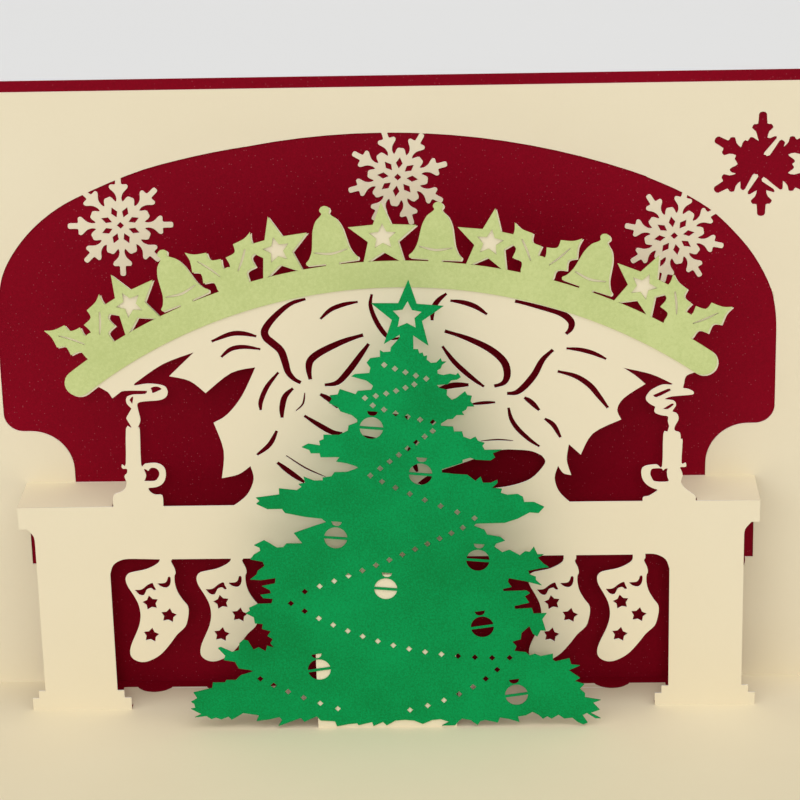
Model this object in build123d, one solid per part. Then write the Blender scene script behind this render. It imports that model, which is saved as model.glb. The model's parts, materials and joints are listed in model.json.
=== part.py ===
from build123d import *
import math
import os

# Pop-up card, open at a right angle. Millimetres. Origin under the middle of the open card,
# X along the spine, Y towards the standing back panel, Z up.
# Outlines of the standing pieces are drawn as (x, height above the liner's floor).

# Card blanks
card_width = 210.0
panel_height = 150.0
cover_thick = 0.4
liner_thick = 0.3
overlay_thick = 0.3
cutter_error = 0.12
liner_inset = 2.5

# Box fold of the fireplace
shelf_height = 52.0
shelf_depth = 15.5
mantel_margin = 16.75
mantel_drop = 13.5
ear_height = 5.4
ear_step = 1.9
cove_height = 4.2
pilaster_reveal = 3.55
pilaster_width = 17.1
plinth_step = 1.6
plinth_low = 3.1
plinth_high = 5.0
opening_round = 2.8
hearth_cut = 12.0

# Box fold that carries the tree
strip_left = -17.0
strip_right = 15.4
strip_front = 26.25

# Window of the back panel; its curves go by shares of its height over the sill
window_side = 12.4
window_head = 10.6
spring_share = 0.677
round_share = 0.52
shoulder_share = 0.282
sill_rise = 13.0
window_corner = 4.5
scroll_radius = 9.8
scroll_reveal = 11.55

# Candlesticks and banner, inwards from the mantel's ends, with heights from the shelf
candle_inset_left = 27.75
candle_inset_right = 20.25
banner_inset_left = 16.45
banner_inset_right = 13.15
banner_height_left = 30.3
banner_height_right = 33.6
banner_top = (2.75, 55.4)
banner_width = 6.2
overlay_shift = (-0.35, 0.35)
motif_size = 1.0
motif_bite = 0.7
motif_margin = 9.0

# Stockings, inwards from the pilasters, and the bites that their toes leave in the floor
stocking_insets_left = [13.1, 29.7]
stocking_insets_right = [7.2, 23.2]
stocking_drop_right = 0.9
toe_radius = 4.6
toe_offset = -5.6
toe_depth = 2.9

# Snowflakes under the arch, the outer two inwards from its haunches, and one cut from the panel's
# corner, clear of the window's rounded shoulder and sized by the room between the two
flake_radius = 12.0
flake_arm = 0.8
flake_bite = 1.6
flake_inset_left = 10.0
flake_inset_right = 3.4
flake_middle = 3.7
cut_flake_clear = 2.4
cut_flake_share = 0.3

# Tree on the strip: boughs as (tip, notch under it) from the top down, garland rows as the pitch of
# their cut diamonds and the three points that they hang through, cut balls as (x, height, tilt)
needle_pitch = 3.8
needle_length = 1.6
needle_lean = 0.9
needle_ease = 4.5
needle_rhythm = (1.0, 0.5, 1.35, 0.7, 1.15, 0.4, 0.9)
tree_neck = [(7.3, 94.6), (3.9, 94.6)]
boughs_right = [
    ((14.3, 90.2), (12.2, 88.2)),
    ((17.6, 86.8), (12.0, 84.8)),
    ((20.2, 81.0), (12.7, 75.3)),
    ((26.2, 69.0), (12.8, 64.4)),
    ((35.6, 55.2), (20.2, 50.6)),
    ((27.0, 47.1), (24.9, 45.4)),
    ((36.4, 41.6), (31.0, 39.2)),
    ((34.8, 36.2), (26.6, 35.0)),
    ((32.6, 32.8), (29.2, 30.4)),
    ((36.2, 26.6), (28.6, 20.6)),
    ((43.8, 15.4), (41.2, 13.6)),
    ((44.8, 10.8), (43.2, 9.6)),
    ((48.8, 5.0), (45.0, 3.5)),
]
boughs_left = [
    ((-6.6, 87.3), (-2.1, 85.1)),
    ((-11.8, 82.5), (-5.6, 76.8)),
    ((-18.2, 70.5), (-5.6, 65.4)),
    ((-29.0, 57.2), (-13.6, 51.8)),
    ((-20.6, 49.2), (-19.0, 47.1)),
    ((-30.0, 46.2), (-27.4, 42.0)),
    ((-31.2, 38.3), (-25.8, 36.6)),
    ((-32.6, 29.7), (-26.6, 22.8)),
    ((-39.2, 20.4), (-31.8, 14.8)),
    ((-46.6, 6.6), (-43.2, 3.5)),
]
tree_star = (5.95, 101.4)
tree_star_turn = -3.0
star_points = (8.4, 3.5)
star_hole = (3.4, 1.75)
garland_half = 0.75
garland_rows = [
    (2.5, (0.6, 89.9), (5.3, 88.1), (9.9, 86.5)),
    (2.3, (7.2, 85.2), (2.0, 83.4), (-3.9, 82.1)),
    (2.8, (-2.2, 80.3), (4.2, 77.9), (11.2, 76.1)),
    (2.5, (11.1, 74.0), (4.4, 69.1), (-3.2, 63.4)),
    (3.8, (-0.6, 61.9), (9.0, 57.3), (20.2, 52.7)),
    (3.3, (17.5, 50.4), (0.6, 42.6), (-19.0, 34.9)),
    (3.75, (-22.3, 32.0), (1.0, 21.1), (27.8, 17.7)),
    (3.8, (24.9, 14.7), (16.0, 8.5), (4.5, 4.5)),
    (3.9, (-30.1, 12.9), (-22.0, 8.7), (-12.3, 5.0)),
]
ball_radius = 2.6
ball_stripe = 0.5
balls = [
    (-2.65, 74.9, -5.0),
    (8.15, 63.6, -5.0),
    (-11.5, 48.2, -5.0),
    (-0.4, 35.4, -5.0),
    (20.8, 42.3, -5.0),
    (21.6, 25.6, 8.0),
    (-16.3, 15.1, 8.0),
    (29.3, 8.2, 8.0),
]

# Worked out from the sizes above
floor_top = cover_thick + liner_thick
back_face = panel_height / 2 - cover_thick - liner_thick
front_face = back_face - shelf_depth
strip_face = back_face - strip_front + overlay_thick
liner_half = card_width / 2 - liner_inset
liner_top = panel_height - liner_inset - floor_top
liner_front = liner_inset - panel_height / 2
mantel_bottom = shelf_height - mantel_drop
mantel_half = liner_half - mantel_margin
pilaster_outer = mantel_half - pilaster_reveal
pilaster_inner = pilaster_outer - pilaster_width
window_half = liner_half - window_side
window_top = liner_top - window_head
window_sill = shelf_height + sill_rise
window_rise = window_top - window_sill
window_spring = window_top - spring_share * window_rise
window_round = round_share * window_rise
window_shoulder = shoulder_share * window_rise
window_haunch = window_half - window_shoulder
haunch_height = window_spring + math.sqrt(window_round**2 - (window_round - window_shoulder) ** 2)
scroll_inner = mantel_half - scroll_reveal
candle_left = candle_inset_left - mantel_half
candle_right = mantel_half - candle_inset_right
banner_left = (banner_inset_left - mantel_half, banner_height_left)
banner_right = (mantel_half - banner_inset_right, banner_height_right)
loop_right = mantel_bottom - stocking_drop_right
stockings = [(inset - pilaster_inner, mantel_bottom) for inset in stocking_insets_left]
stockings += [(pilaster_inner - inset, loop_right) for inset in stocking_insets_right]


def upright(y):
    """Plane facing the viewer at depth y, with its zero height on the liner's floor."""
    return Plane(origin=(0, y, floor_top), x_dir=(1, 0, 0), z_dir=(0, -1, 0))


def level(y, z):
    """Level plane whose second axis runs back from depth y."""
    return Plane(origin=(0, y, z), x_dir=(1, 0, 0), z_dir=(0, 0, 1))


def plate(plane, face, thick):
    """Sheet that lies behind or under its drawn face."""
    return extrude(plane * face, amount=-thick)


def stretch(*points):
    """Line through two points, arc through three, smooth curve through more."""
    return {2: Line, 3: ThreePointArc}.get(len(points), Spline)(*points)


def chords(*points):
    """The same stretch as a cutter takes it, in chords that stay within the cutter's error."""
    curve = stretch(*points)
    ways = [curve % (index / 8) for index in range(9)]
    turn = math.radians(sum(a.get_angle(b) for a, b in zip(ways, ways[1:])))
    count = max(1, math.ceil(math.sqrt(curve.length * turn / (8 * cutter_error))))
    return Polyline(*[curve @ (index / count) for index in range(count + 1)])


def outline(*runs):
    """Face whose edge runs through each list of points in turn."""
    return Sketch() + make_face(Curve() + [chords(*run) for run in runs])


def polygon(*points):
    return Sketch() + make_face(Polyline(*points, close=True))


def box_face(left, right, low, high):
    return polygon((left, low), (right, low), (right, high), (left, high))


def both_sides(face):
    return face + mirror(face, about=Plane.YZ)


def slit(width, *spine):
    """Brush-like cut through the points of its spine, half as wide at both ends."""
    points = [Vector(*point) for point in spine]
    ahead = points[1:] + points[-1:]
    behind = points[:1] + points[:-1]
    left, right = [], []
    for index, point in enumerate(points):
        across = (ahead[index] - behind[index]).normalized().rotate(Axis.Z, 90)
        share = 0.5 if 0 < index < len(points) - 1 else 0.25
        left.append(point + across * width * share)
        right.append(point - across * width * share)
    return polygon(*left, *reversed(right))


def star(outer, inner, turn=0.0):
    points = []
    for index in range(10):
        angle = math.radians(90 + turn + 36 * index)
        reach = outer if index % 2 == 0 else inner
        points.append((reach * math.cos(angle), reach * math.sin(angle)))
    return polygon(*points)


def diamond(half):
    return polygon((half, 0), (0, half), (-half, 0), (0, -half))


def fireplace_front():
    """Mantel with its ears, two pilasters on stepped plinths."""
    ear_low = shelf_height - ear_height
    ear_inner = mantel_half - ear_step
    cove_low = ear_low - cove_height
    outer = Polyline(
        (0, shelf_height),
        (mantel_half, shelf_height),
        (mantel_half, ear_low),
        (ear_inner, ear_low),
    )
    cove = RadiusArc((ear_inner, ear_low), (pilaster_outer, cove_low), cove_height)
    foot = Polyline(
        (pilaster_outer, cove_low),
        (pilaster_outer, plinth_high),
        (pilaster_outer + plinth_step, plinth_high),
        (pilaster_outer + plinth_step, plinth_low),
        (pilaster_outer + 2 * plinth_step, plinth_low),
        (pilaster_outer + 2 * plinth_step, 0),
        (pilaster_inner - 2 * plinth_step, 0),
        (pilaster_inner - 2 * plinth_step, plinth_low),
        (pilaster_inner - plinth_step, plinth_low),
        (pilaster_inner - plinth_step, plinth_high),
        (pilaster_inner, plinth_high),
        (pilaster_inner, mantel_bottom - opening_round),
    )
    corner = RadiusArc(
        (pilaster_inner, mantel_bottom - opening_round),
        (pilaster_inner - opening_round, mantel_bottom),
        -opening_round,
    )
    lintel = Polyline(
        (pilaster_inner - opening_round, mantel_bottom), (0, mantel_bottom), (0, shelf_height)
    )
    return both_sides(Sketch() + make_face(Curve() + [outer, cove, foot, corner, lintel]))


def stocking():
    """Hung from its loop at the origin, toe to the left."""
    body = outline(
        [(-1.3, 1.6), (-1.3, 0.4)],
        [(-1.3, 0.4), (-3.2, -1.9), (-6.2, -2.9)],
        [(-6.2, -2.9), (-9.4, -4.2), (-9.2, -6.6)],
        [(-9.2, -6.6), (-6.6, -13.4), (-8.4, -20.2)],
        [(-8.4, -20.2), (-8.4, -25.8), (-3.2, -25.4)],
        [(-3.2, -25.4), (-0.6, -22.4), (2.8, -18.6)],
        [(2.8, -18.6), (4.7, -15.0), (3.9, -11.0)],
        [(3.9, -11.0), (2.3, -7.4), (1.9, -3.6)],
        [(1.9, -3.6), (1.7, 1.6)],
        [(1.7, 1.6), (-1.3, 1.6)],
    )
    cuff = [
        slit(1.0, (-7.6, -8.2), (-5.2, -7.4), (-3.0, -6.3)),
        slit(0.9, (-2.2, -6.2), (0.6, -5.0)),
    ]
    stars = [(-3.9, -11.2, -20), (0.0, -14.3, 0), (-4.25, -19.5, 8)]
    return body - cuff - [Pos(x, z) * star(1.7, 0.75, turn) for x, z, turn in stars]


def candle():
    """Candlestick on the axis x = 0 standing on z = 0, ring handle towards -x, smoke on top."""
    dish = outline(
        [(-5.8, -0.5), (-5.8, 2.2)],
        [(-5.8, 2.2), (-3.0, 3.4), (-2.1, 6.4)],
        [(-2.1, 6.4), (2.1, 6.4)],
        [(2.1, 6.4), (3.0, 3.4), (5.8, 2.2)],
        [(5.8, 2.2), (5.8, -0.5)],
        [(5.8, -0.5), (-5.8, -0.5)],
    )
    stem = box_face(-2.1, 2.1, 6.0, 9.5) + box_face(-2.8, 2.8, 9.4, 10.6)
    taper = polygon((-1.8, 10.5), (1.8, 10.5), (1.5, 19.3), (-1.5, 19.3))
    flame = outline(
        [(-0.5, 19.2), (-1.4, 21.8), (-0.4, 24.6)],
        [(-0.4, 24.6), (0.8, 24.6)],
        [(0.8, 24.6), (1.3, 22.0), (0.5, 19.2)],
        [(0.5, 19.2), (-0.5, 19.2)],
    )
    handle = Pos(-4.7, 7.6) * (RegularPolygon(3.0, 12) - RegularPolygon(1.7, 8))
    smoke = outline(
        [(-1.0, 24.2), (-2.3, 25.7), (-5.1, 26.2)],
        [(-5.1, 26.2), (-8.6, 28.4), (-6.4, 30.0)],
        [(-6.4, 30.0), (1.6, 29.9)],
        [(1.6, 29.9), (1.3, 28.5)],
        [(1.3, 28.5), (-4.0, 28.6)],
        [(-4.0, 28.6), (-3.3, 27.7)],
        [(-3.3, 27.7), (0.4, 26.8), (0.7, 24.2)],
        [(0.7, 24.2), (-1.0, 24.2)],
    )
    return dish + stem + taper + flame + handle + smoke


def ribbon():
    """Bow and trailing ends under the banner with their fold cuts, fitted to the banner's span and top."""
    drawn_span, drawn_top = 141.9, 55.4
    spread = (banner_right[0] - banner_left[0]) / drawn_span
    rise = banner_top[1] / drawn_top

    def fitted(points):
        return [(x * spread, height * rise) for x, height in points]

    crown = [(-65.0, 31.6), (2.75, 55.0), (69.5, 33.6)]
    left = [
        [(-35.9, -0.5), (-32.3, 2.6), (-30.6, 6.5), (-31.2, 9.8)],
        [(-31.2, 9.8), (-34.0, 7.8), (-37.9, 6.9)],
        [(-37.9, 6.9), (-37.2, 13.7), (-39.2, 20.5)],
        [(-39.2, 20.5), (-36.1, 22.4), (-32.5, 26.9), (-29.1, 33.9)],
        [(-29.1, 33.9), (-34.7, 32.6), (-40.7, 27.8)],
        [(-40.7, 27.8), (-44.2, 30.8), (-48.8, 32.0)],
        [(-48.8, 32.0), (-42.9, 37.7)],
        [(-42.9, 37.7), (-50.2, 34.9), (-57.0, 30.2)],
        [(-57.0, 30.2), (-62.0, 26.9)],
        [(-62.0, 26.9), (-63.2, 28.8), (-65.0, 31.6)],
    ]
    right = [
        [(69.5, 33.6), (68.2, 30.4), (67.4, 27.6)],
        [(67.4, 27.6), (60.5, 31.1), (54.2, 32.7)],
        [(54.2, 32.7), (57.0, 30.7), (59.2, 28.7)],
        [(59.2, 28.7), (53.3, 23.8), (53.8, 20.2)],
        [(53.8, 20.2), (47.4, 16.9), (44.6, 11.7)],
        [(44.6, 11.7), (41.9, 14.3)],
        [(41.9, 14.3), (41.4, 10.4), (42.4, 6.7)],
        [(42.4, 6.7), (40.6, 7.2), (39.4, 9.0)],
        [(39.4, 9.0), (38.6, 6.0), (39.6, 2.6), (42.5, -0.5)],
        [(42.5, -0.5), (-35.9, -0.5)],
    ]
    under_bow = [
        [(7.0, 8.2), (16.0, 11.6), (26.4, 12.8), (36.0, 10.8)],
        [(36.0, 10.8), (33.2, 6.9), (24.8, 3.6), (14.0, 4.0), (7.0, 8.2)],
    ]
    folds = [
        (1.0, (-38.8, 40.2), (-33.2, 42.0), (-28.6, 41.3)),
        (0.9, (-36.8, 36.4), (-32.4, 38.8), (-27.8, 38.2)),
        (1.5, (-17.4, 50.1), (-24.6, 45.6), (-26.7, 42.0), (-23.6, 38.2), (-22.2, 34.4), (-19.0, 30.1)),
        (1.3, (-4.6, 41.2), (-10.4, 39.1), (-15.2, 36.6), (-16.9, 34.4), (-16.7, 30.8)),
        (1.1, (-3.4, 39.1), (-8.0, 32.6), (-10.6, 29.9), (-13.4, 29.4)),
        (0.9, (-14.0, 45.2), (-10.4, 48.1), (-5.4, 49.2)),
        (0.9, (-2.2, 51.0), (-2.5, 47.8), (0.2, 41.8), (3.8, 40.4)),
        (1.0, (14.6, 50.9), (12.0, 48.4), (11.2, 44.5)),
        (1.0, (15.4, 49.2), (19.8, 48.3), (23.6, 45.8)),
        (1.4, (14.0, 42.0), (22.0, 38.9), (27.2, 34.6), (27.8, 30.4), (25.2, 28.6)),
        (0.9, (13.4, 38.4), (17.6, 32.9), (22.6, 28.5)),
        (1.1, (12.2, 28.0), (19.2, 29.0)),
        (0.8, (19.8, 24.3), (25.2, 24.7)),
        (1.0, (-23.9, 32.6), (-27.6, 27.4), (-28.3, 23.4)),
        (1.0, (-20.7, 28.7), (-23.0, 25.6), (-23.5, 21.5)),
        (1.2, (-14.6, 27.1), (-12.3, 25.7), (-10.6, 23.8)),
        (1.1, (-18.4, 22.0), (-13.4, 18.5), (-9.8, 17.6)),
        (0.9, (-24.8, 18.4), (-26.6, 15.0), (-29.6, 12.5)),
        (1.2, (-25.0, 10.6), (-18.9, 5.6)),
        (1.2, (30.0, 48.8), (39.4, 46.3), (42.5, 43.6), (41.4, 41.0)),
        (0.9, (41.4, 37.5), (46.2, 36.7), (50.4, 34.8)),
        (1.3, (38.4, 37.1), (34.2, 31.4), (31.4, 28.0), (28.0, 26.9)),
        (1.0, (39.4, 32.0), (45.4, 29.6), (50.8, 23.0)),
        (1.0, (31.8, 25.8), (35.2, 22.6)),
        (0.9, (36.4, 20.6), (38.6, 18.8), (40.0, 15.9)),
        (0.8, (28.2, 23.4), (29.8, 18.8), (35.2, 13.8)),
    ]
    body = outline(*[fitted(run) for run in [*left, crown, *right]])
    body -= outline(*[fitted(run) for run in under_bow])
    return body - [slit(width, *fitted(spine)) for width, *spine in folds]


def holly():
    """Two spiny leaves and three berries on the origin."""
    half = [(3.1, 3.2), (1.9, 5.6), (3.3, 7.4), (1.7, 9.6)]
    leaf = polygon((0.0, 0.0), *half, (0.0, 13.4), *[(-x, z) for x, z in reversed(half)])
    berries = [Pos(x, z) * RegularPolygon(1.9, 6) for x, z in [(-2.0, 1.5), (2.0, 1.5), (0.0, 4.6)]]
    return Rot(Z=33) * leaf + Rot(Z=-33) * leaf + berries


def bell():
    """Bell with a flared lip, a clapper and a hanging loop, standing on the origin."""
    half = [(1.6, 0.2), (1.9, 1.6), (6.0, 1.6), (4.1, 5.4), (3.4, 9.4), (1.5, 12.2), (0.8, 14.4)]
    return polygon(*half, *[(-x, z) for x, z in reversed(half)])


def star_motif():
    """Five-pointed star standing on two of its points."""
    return Pos(0, 6.4) * star(8.0, 3.5)


def banner_face():
    """Arched band with round ends and a row of festive motifs along its top."""
    spine = ThreePointArc(banner_left, banner_top, banner_right)
    band = trace(spine, banner_width)
    band += [Pos(*spot) * RegularPolygon(banner_width / 2, 14) for spot in (banner_left, banner_right)]
    row = [holly, star_motif, bell, holly, star_motif, bell]
    row = row + [star_motif] + row[::-1]
    seat = banner_width / 2 - motif_bite
    pitch = (spine.length - 2 * motif_margin) / (len(row) - 1)
    for index, motif in enumerate(row):
        share = (motif_margin + index * pitch) / spine.length
        spot, along = spine @ share, spine % share
        turn = math.degrees(math.atan2(along.Y, along.X))
        band += Pos(spot.X, spot.Y) * Rot(Z=turn) * Pos(0, seat) * scale(motif(), motif_size)
    return band


def standing_front():
    """Everything cut from the liner that stands in the plane of the fireplace."""
    face = fireplace_front() + Pos(0, shelf_height) * (ribbon() + banner_face())
    face += [Pos(*loop) * stocking() for loop in stockings]
    toe = (pilaster_inner - 2 * plinth_step, pilaster_outer + 2 * plinth_step)
    face += both_sides(box_face(*toe, -liner_thick, plinth_low))
    face += Pos(candle_right, shelf_height) * candle()
    face += Pos(candle_left, shelf_height) * mirror(candle(), about=Plane.YZ)
    return face


def snowflake(arms, radius, pierced):
    """Flat cut flake about the origin, one arm upright; points as (across, along) each arm."""
    half_turn = math.pi / arms
    lobe = 0.57 * radius
    side = [
        (lobe * math.sin(0.8 * half_turn), lobe * math.cos(0.8 * half_turn)),
        (1.1 * flake_arm, 0.48 * radius),
        (3.2 * flake_arm, 0.71 * radius),
        (2.3 * flake_arm, 0.81 * radius),
        (flake_arm, 0.71 * radius),
        (flake_arm, radius),
    ]
    arm = side + [(-across, along) for across, along in reversed(side)]
    rim = []
    for index in range(arms):
        turn = 360 / arms * index
        rim += [Vector(across, along).rotate(Axis.Z, turn) for across, along in arm]
    face = polygon(*rim)
    low, wide, high = 0.15 * radius, 0.045 * radius, 0.36 * radius
    gap = polygon((0, low), (wide, (low + high) / 2), (0, high), (-wide, (low + high) / 2))
    if pierced:
        face -= [Rot(Z=360 / arms * (index + 0.5)) * gap for index in range(arms)]
    return face


def arch_height(x):
    """Height of the window's flat arch, which runs between the two haunches."""
    rise = window_top - haunch_height
    radius = (window_haunch**2 + rise**2) / (2 * rise)
    return window_top - radius + math.sqrt(radius**2 - x**2)


def window():
    """Arched opening of the back panel, with scrolls over the shelf ends."""
    bend = math.acos(1 - window_shoulder / window_round) / 2
    bend_x = window_half - window_round * (1 - math.cos(bend))
    bend_z = window_spring + window_round * math.sin(bend)
    scroll_x = scroll_inner + scroll_radius
    scroll_low = window_sill - scroll_radius
    corner_x = window_half - window_corner
    corner_z = window_sill + window_corner
    half = [
        Line((0, mantel_bottom), (scroll_inner, mantel_bottom)),
        Line((scroll_inner, mantel_bottom), (scroll_inner, scroll_low)),
        RadiusArc((scroll_inner, scroll_low), (scroll_x, window_sill), scroll_radius),
        Line((scroll_x, window_sill), (corner_x, window_sill)),
        RadiusArc((corner_x, window_sill), (window_half, corner_z), -window_corner),
        Line((window_half, corner_z), (window_half, window_spring)),
        ThreePointArc((window_half, window_spring), (bend_x, bend_z), (window_haunch, haunch_height)),
        ThreePointArc(
            (window_haunch, haunch_height),
            (window_haunch / 2, arch_height(window_haunch / 2)),
            (0, window_top),
        ),
        Line((0, window_top), (0, mantel_bottom)),
    ]
    return both_sides(Sketch() + make_face(Curve() + half))


def fireplace_cut():
    """What the fireplace leaves open in the flat sheet, by height on the fireplace."""
    toe_height = hearth_cut - toe_depth + toe_radius
    toes = [Pos(x + toe_offset, toe_height) * RegularPolygon(toe_radius, 12) for x, height in stockings]
    return fireplace_front() + box_face(-pilaster_inner, pilaster_inner, hearth_cut, shelf_height) + toes


def back_panel():
    face = box_face(-liner_half, liner_half, -liner_thick, liner_top) - window()
    face -= Pos(0, -shelf_depth) * fireplace_cut()
    face -= box_face(-mantel_half, mantel_half, shelf_height - shelf_depth, shelf_height - liner_thick)
    left, right = flake_inset_left - window_haunch, window_haunch - flake_inset_right
    for x, turn in [(left, 0), (flake_middle, 15), (right, -10)]:
        height = arch_height(x) - flake_radius + flake_bite
        face += Pos(x, height) * Rot(Z=turn) * snowflake(8, flake_radius, pierced=True)
    shoulder = Vector(window_half - window_round, window_spring)
    diagonal = Vector(liner_half, liner_top) - shoulder
    cut_radius = cut_flake_share * (diagonal.length - window_round)
    spot = shoulder + diagonal.normalized() * (window_round + cut_flake_clear + cut_radius)
    face -= Pos(spot.X, spot.Y) * snowflake(6, cut_radius, pierced=False)
    return plate(upright(back_face), face, liner_thick)


def floor_panel():
    """Drawn from the fireplace's fold line; what stands up leaves its outline in the floor."""
    front = liner_front - front_face
    face = box_face(-liner_half, liner_half, front, shelf_depth + liner_thick)
    face -= fireplace_cut()
    face -= box_face(strip_left, strip_right, shelf_depth - strip_front + overlay_thick, shelf_depth)
    return plate(level(front_face, floor_top), face, liner_thick)


def shelf():
    """Two shelf ends; the inner edge of each is the outline left by its candlestick."""
    behind = shelf_depth + liner_thick
    left = box_face(-mantel_half, candle_left, 0, behind)
    left -= Pos(candle_left, 0) * mirror(candle(), about=Plane.YZ)
    right = box_face(candle_right, mantel_half, 0, behind) - Pos(candle_right, 0) * candle()
    return plate(level(front_face, floor_top + shelf_height), left + right, liner_thick)


def tree_strip():
    """Second box fold, from the floor up to the mantel's lower edge."""
    top = mantel_bottom + liner_thick
    rise = plate(upright(strip_face), box_face(strip_left, strip_right, -liner_thick, top), liner_thick)
    reach = box_face(strip_left, strip_right, strip_face - front_face, liner_thick)
    return rise + plate(level(front_face, floor_top + top), reach, liner_thick)


def make_liner():
    sheet = back_panel() + floor_panel() + shelf() + tree_strip()
    return sheet + plate(upright(front_face), standing_front(), liner_thick)


def make_cover():
    half = panel_height / 2
    profile = Polyline(
        (-half, 0),
        (half, 0),
        (half, panel_height),
        (half - cover_thick, panel_height),
        (half - cover_thick, cover_thick),
        (-half, cover_thick),
        close=True,
    )
    side = Plane(origin=(-card_width / 2, 0, 0), x_dir=(0, 1, 0), z_dir=(1, 0, 0))
    return extrude(side * make_face(profile), amount=card_width)


def needles(start, end, towards):
    """Points of a needled edge from start up to end; the needles lean to the bough's tip."""
    start, end, towards = Vector(*start), Vector(*end), Vector(*towards)
    notch = start if (end - towards).length < 0.1 else end
    run = end - start
    count = max(1, round(run.length / needle_pitch))
    outward = Vector(-run.Y, run.X).normalized()
    points = []
    for index in range(count):
        root = start + run * (index / count)
        crown = start + run * ((index + 0.5) / count)
        ease = min(1.0, (crown - notch).length / needle_ease)
        length = needle_length * needle_rhythm[index % len(needle_rhythm)]
        lean = (towards - crown).normalized() * needle_lean
        points += [root, crown + (outward * length + lean) * ease]
    return points


def bough_side(neck, boughs):
    """Needled outline from the neck down to the foot of the tree on its right side."""
    points, corner = [], neck
    for tip, notch in boughs:
        points += needles(corner, tip, tip) + needles(tip, notch, tip)
        corner = notch
    return points, corner


def make_tree():
    right, foot_right = bough_side(tree_neck[0], boughs_right)
    flipped = [((-tip[0], tip[1]), (-notch[0], notch[1])) for tip, notch in boughs_left]
    left, foot_left = bough_side((-tree_neck[1][0], tree_neck[1][1]), flipped)
    foot_left = (-foot_left[0], foot_left[1])
    hem = needles(foot_right, foot_left, ((foot_right[0] + foot_left[0]) / 2, -40.0))
    left = [Vector(-point.X, point.Y) for point in left]
    face = polygon(*right, *hem, foot_left, *reversed(left))
    face += box_face(tree_neck[1][0], tree_neck[0][0], tree_neck[0][1] - 1, tree_star[1])
    face += Pos(*tree_star) * star(*star_points, tree_star_turn)
    face -= Pos(*tree_star) * star(*star_hole, tree_star_turn)
    for pitch, *points in garland_rows:
        strand = stretch(*points)
        gaps = round(strand.length / pitch)
        spots = [strand @ (index / gaps) for index in range(gaps + 1)]
        face -= [Pos(spot.X, spot.Y) * diamond(garland_half) for spot in spots]
    stripe = box_face(-ball_radius, ball_radius, -ball_stripe / 2, ball_stripe / 2)
    cap = polygon((-1.2, 0.6), (1.2, 0.6), (0.6, 1.7), (-0.6, 1.7))
    ball = RegularPolygon(ball_radius, 12) - stripe + Pos(0, ball_radius) * cap
    face -= [Pos(x, z) * Rot(Z=tilt) * ball for x, z, tilt in balls]
    return plate(upright(strip_face - overlay_thick), face, overlay_thick)


def make_banner():
    face = Pos(overlay_shift[0], shelf_height + overlay_shift[1]) * banner_face()
    return plate(upright(front_face - overlay_thick), face, overlay_thick)


pieces = {
    "cover": make_cover(),
    "liner": make_liner(),
    "tree": make_tree(),
    "banner": make_banner(),
}
os.makedirs("parts", exist_ok=True)
for name, shape in pieces.items():
    export_step(shape, f"parts/{name}.step")
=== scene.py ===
import bmesh
import bpy
import json
import math
from mathutils import Matrix, Vector

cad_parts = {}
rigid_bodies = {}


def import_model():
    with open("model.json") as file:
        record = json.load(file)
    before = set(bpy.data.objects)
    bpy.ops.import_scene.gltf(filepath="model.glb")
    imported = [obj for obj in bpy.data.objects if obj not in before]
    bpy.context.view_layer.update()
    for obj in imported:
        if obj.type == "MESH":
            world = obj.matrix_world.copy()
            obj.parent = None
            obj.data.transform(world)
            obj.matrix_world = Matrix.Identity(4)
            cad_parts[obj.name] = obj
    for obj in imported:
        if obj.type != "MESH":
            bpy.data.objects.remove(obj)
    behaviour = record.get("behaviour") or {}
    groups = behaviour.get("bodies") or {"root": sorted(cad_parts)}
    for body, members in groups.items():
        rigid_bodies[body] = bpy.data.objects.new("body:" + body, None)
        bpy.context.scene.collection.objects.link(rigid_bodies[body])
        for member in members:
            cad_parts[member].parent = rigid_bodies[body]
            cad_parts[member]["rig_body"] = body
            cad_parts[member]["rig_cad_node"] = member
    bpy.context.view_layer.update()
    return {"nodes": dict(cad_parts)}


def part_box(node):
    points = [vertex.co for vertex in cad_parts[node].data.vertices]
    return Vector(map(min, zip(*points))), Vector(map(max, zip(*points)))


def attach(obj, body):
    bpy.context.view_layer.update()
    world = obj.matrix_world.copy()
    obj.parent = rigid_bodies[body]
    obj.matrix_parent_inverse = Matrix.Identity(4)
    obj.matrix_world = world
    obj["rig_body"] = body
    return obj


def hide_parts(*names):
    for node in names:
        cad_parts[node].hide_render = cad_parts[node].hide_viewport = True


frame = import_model()
nodes = frame["nodes"]
mm = 0.001
print("frame loaded:", ", ".join(sorted(nodes)))

# Thickness of the cards and the planes they stand in
coverThick = 0.4 * mm
cardThick = 0.3 * mm
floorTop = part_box("cover")[0].z + coverThick + cardThick  # cover and liner lie under the standing cards
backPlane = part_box("liner")[1].y - cardThick  # front of the liner's back panel
backDepths = (backPlane, backPlane + cardThick)
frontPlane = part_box("banner")[1].y  # the banner is glued to the standing front
frontDepths = (frontPlane, frontPlane + cardThick)


def rgb(red, green, blue):
    # 0 to 255 as a colour picker shows it, to the linear value a shader takes
    parts = [c / 255 for c in (red, green, blue)]
    return tuple(p / 12.92 if p <= 0.04045 else ((p + 0.055) / 1.055) ** 2.4 for p in parts) + (1.0,)


class Wire:
    # a socket that grows Math nodes when it is used in a sum
    def __init__(self, socket):
        self.socket = socket

    def math(self, operation, first, second):
        paint = Paint(self.socket.id_data)
        return paint.node("ShaderNodeMath", {"operation": operation}, {0: first, 1: second})

    def __add__(self, other): return self.math("ADD", self, other)
    def __radd__(self, other): return self.math("ADD", other, self)
    def __sub__(self, other): return self.math("SUBTRACT", self, other)
    def __rsub__(self, other): return self.math("SUBTRACT", other, self)
    def __mul__(self, other): return self.math("MULTIPLY", self, other)
    def __rmul__(self, other): return self.math("MULTIPLY", other, self)
    def __lt__(self, other): return self.math("LESS_THAN", self, other)


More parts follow.
